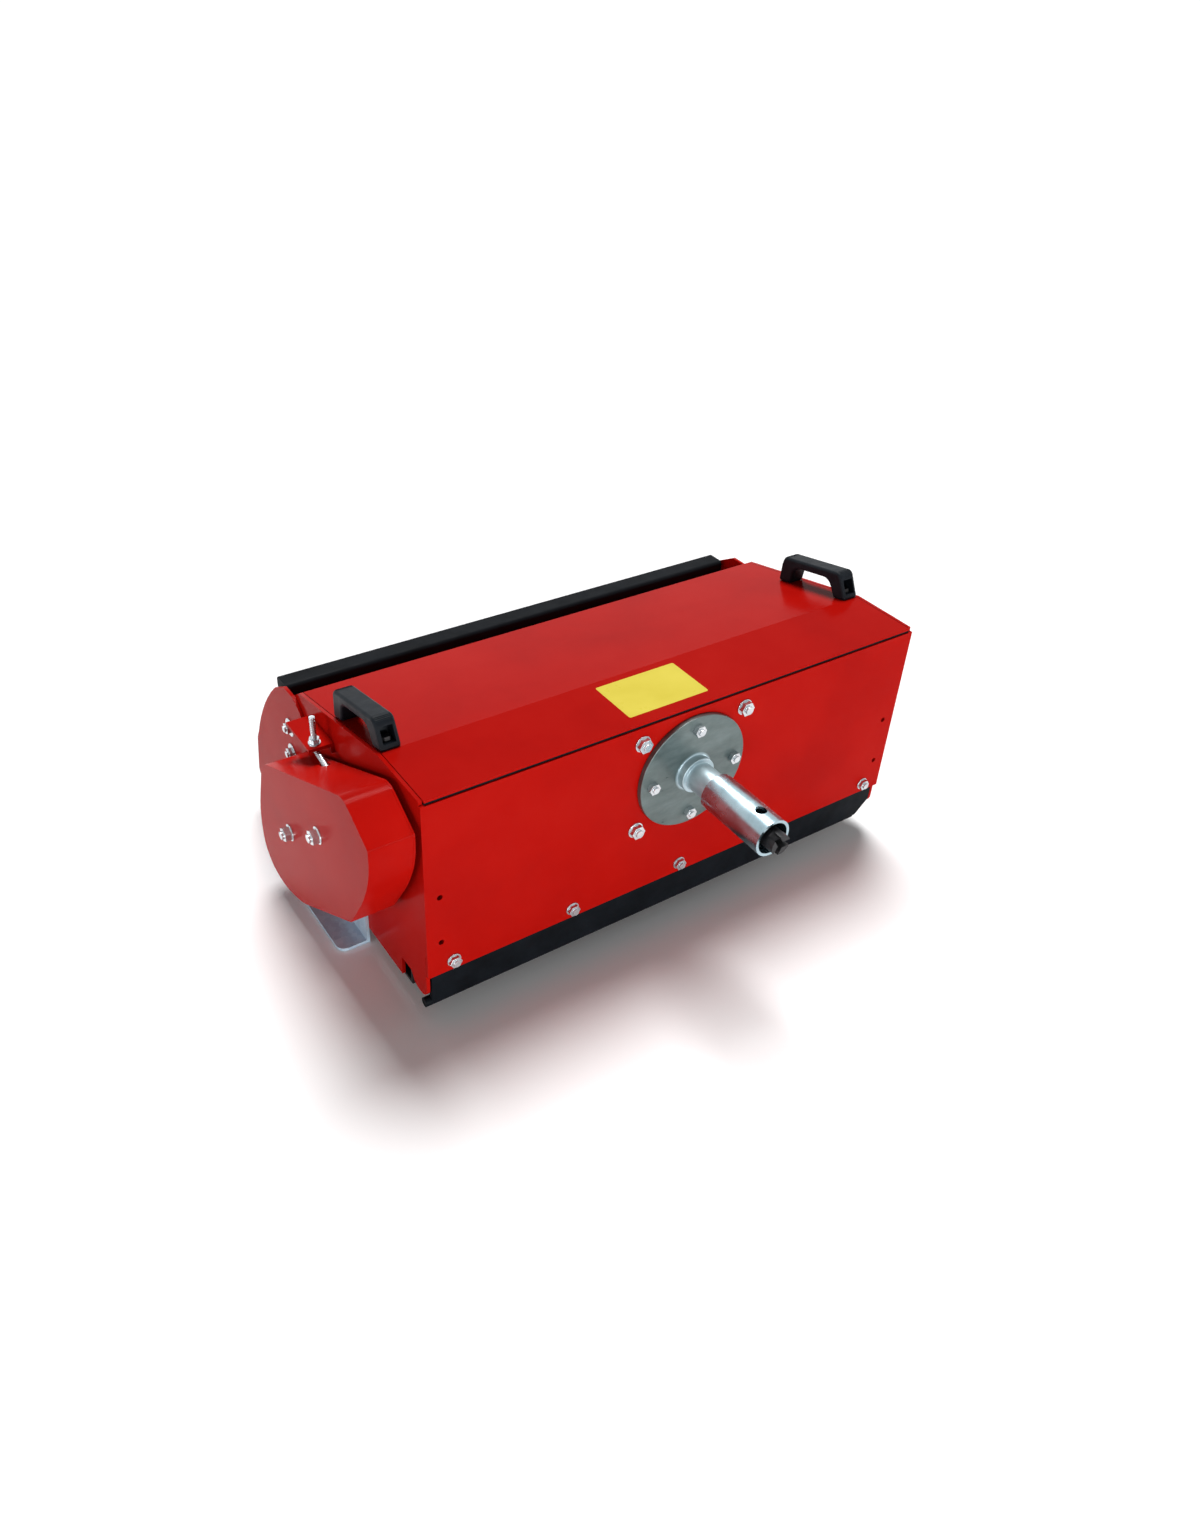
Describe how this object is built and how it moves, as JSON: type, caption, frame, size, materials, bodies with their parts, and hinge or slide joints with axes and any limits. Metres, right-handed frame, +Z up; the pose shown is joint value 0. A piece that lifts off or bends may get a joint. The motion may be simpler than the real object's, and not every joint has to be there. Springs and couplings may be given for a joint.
{
  "type": "flail mower",
  "caption": "Red walk-behind flail mower with hinged lid, bridge handles, side belt case, drive coupling tube with flange, rubber skirt and adjustable skids around a flail rotor.",
  "frame": {"origin": "centre of the coupling tube's open end, on the drive axis", "axes": "+X to the right across the working width as seen from the tractor, +Y away from the tractor into the machine, +Z up"},
  "size_m": [0.9517, 0.7666, 0.4198],
  "materials": {
    "red_paint": "gloss",
    "black_paint": "satin",
    "zinc_plate": "satin",
    "bright_steel": "polished",
    "galvanised": "satin",
    "dark_steel": "satin",
    "grey_iron": "matte",
    "black_rubber": "matte",
    "black_plastic": "matte"
  },
  "bodies": {
    "housing": {"side_plate_left": "red_paint", "side_plate_right": "red_paint", "cheek_left": "red_paint", "cheek_right": "red_paint", "cheek_bolts": "zinc_plate", "coupling_panel": "red_paint", "rubber_skirt": "black_rubber", "skirt_strip": "zinc_plate", "skirt_bolts": "zinc_plate", "rotor_hood": "red_paint", "front_cross_tube": "red_paint", "lower_cross_tube": "black_paint", "hinge_brackets": "red_paint", "hinge_pins": "zinc_plate", "lid_seal": "black_rubber", "coupling_flange": "zinc_plate", "coupling_tube": "bright_steel", "flange_bolts": "zinc_plate", "gearbox_housing": "grey_iron", "gearbox_cover": "grey_iron", "gearbox_bolts": "zinc_plate", "gearbox_bearings": "bright_steel", "cross_bearing": "grey_iron", "rotor_bearings": "grey_iron", "bearing_bolts": "zinc_plate", "belt_case": "red_paint", "case_back_plate": "red_paint", "case_studs": "zinc_plate", "v_belts": "black_rubber", "idler_arm": "black_paint", "tension_bracket": "red_paint", "tension_rod": "zinc_plate", "skid_bolts": "zinc_plate"},
    "lid": {"lid": "red_paint", "lid_bar": "black_rubber", "handle_left": "black_plastic", "handle_right": "black_plastic", "handle_screws": "zinc_plate"},
    "pto_shaft": {"pto_shaft": "black_paint", "bevel_gear": "dark_steel"},
    "cross_shaft": {"cross_shaft": "bright_steel", "bevel_pinion": "dark_steel", "drive_pulley": "grey_iron"},
    "rotor": {"rotor_tube": "black_paint", "rotor_shafts": "bright_steel", "driven_pulley": "grey_iron", "flail_pins": "zinc_plate"},
    "idler": {"idler_pulley": "grey_iron"},
    "skid_left": {"skid_left": "galvanised"},
    "skid_right": {"skid_right": "galvanised"},
    "flail_01": {"flail_01": "dark_steel"},
    "flail_02": {"flail_02": "dark_steel"},
    "flail_03": {"flail_03": "dark_steel"},
    "flail_04": {"flail_04": "dark_steel"},
    "flail_05": {"flail_05": "dark_steel"},
    "flail_06": {"flail_06": "dark_steel"},
    "flail_07": {"flail_07": "dark_steel"},
    "flail_08": {"flail_08": "dark_steel"},
    "flail_09": {"flail_09": "dark_steel"},
    "flail_10": {"flail_10": "dark_steel"}
  },
  "joints": [
    {"name": "rotor_spin", "type": "hinge", "parent": "housing", "child": "rotor", "pos_m": [0, 0.474, -0.142], "axis": [1, 0, 0], "continuous": true},
    {"name": "cross_spin", "type": "hinge", "parent": "housing", "child": "cross_shaft", "pos_m": [0, 0.264, 0], "axis": [1, 0, 0], "continuous": true},
    {"name": "pto_spin", "type": "hinge", "parent": "housing", "child": "pto_shaft", "pos_m": [0, 0, 0], "axis": [0, 1, 0], "continuous": true},
    {"name": "idler_spin", "type": "hinge", "parent": "housing", "child": "idler", "pos_m": [0, 0.3729, -0.04013], "axis": [1, 0, 0], "continuous": true},
    {"name": "lid_hinge", "type": "hinge", "parent": "housing", "child": "lid", "pos_m": [0, 0.604, -0.01501], "axis": [-1, 0, 0], "range_deg": [0, 95]},
    {"name": "skid_left_height", "type": "slide", "parent": "housing", "child": "skid_left", "axis": [0, 0, -1], "range_m": [0, 0.03]},
    {"name": "skid_right_height", "type": "slide", "parent": "housing", "child": "skid_right", "axis": [0, 0, -1], "range_m": [0, 0.03]},
    {"name": "flail_01_swing", "type": "hinge", "parent": "rotor", "child": "flail_01", "pos_m": [-0.3465, 0.532, -0.142], "axis": [1, 0, 0], "range_deg": [-25, 205]},
    {"name": "flail_02_swing", "type": "hinge", "parent": "rotor", "child": "flail_02", "pos_m": [-0.2695, 0.416, -0.142], "axis": [1, 0, 0], "range_deg": [-205, 25]},
    {"name": "flail_03_swing", "type": "hinge", "parent": "rotor", "child": "flail_03", "pos_m": [-0.1925, 0.532, -0.142], "axis": [1, 0, 0], "range_deg": [-25, 205]},
    {"name": "flail_04_swing", "type": "hinge", "parent": "rotor", "child": "flail_04", "pos_m": [-0.1155, 0.416, -0.142], "axis": [1, 0, 0], "range_deg": [-205, 25]},
    {"name": "flail_05_swing", "type": "hinge", "parent": "rotor", "child": "flail_05", "pos_m": [-0.0385, 0.532, -0.142], "axis": [1, 0, 0], "range_deg": [-25, 205]},
    {"name": "flail_06_swing", "type": "hinge", "parent": "rotor", "child": "flail_06", "pos_m": [0.0385, 0.416, -0.142], "axis": [1, 0, 0], "range_deg": [-205, 25]},
    {"name": "flail_07_swing", "type": "hinge", "parent": "rotor", "child": "flail_07", "pos_m": [0.1155, 0.532, -0.142], "axis": [1, 0, 0], "range_deg": [-25, 205]},
    {"name": "flail_08_swing", "type": "hinge", "parent": "rotor", "child": "flail_08", "pos_m": [0.1925, 0.416, -0.142], "axis": [1, 0, 0], "range_deg": [-205, 25]},
    {"name": "flail_09_swing", "type": "hinge", "parent": "rotor", "child": "flail_09", "pos_m": [0.2695, 0.532, -0.142], "axis": [1, 0, 0], "range_deg": [-25, 205]},
    {"name": "flail_10_swing", "type": "hinge", "parent": "rotor", "child": "flail_10", "pos_m": [0.3465, 0.416, -0.142], "axis": [1, 0, 0], "range_deg": [-205, 25]}
  ],
  "couplings": [
    {"joint": "cross_spin", "follows": "rotor_spin", "ratio": 0.66667},
    {"joint": "pto_spin", "follows": "rotor_spin", "ratio": -0.33333},
    {"joint": "idler_spin", "follows": "rotor_spin", "ratio": 1.6154}
  ]
}
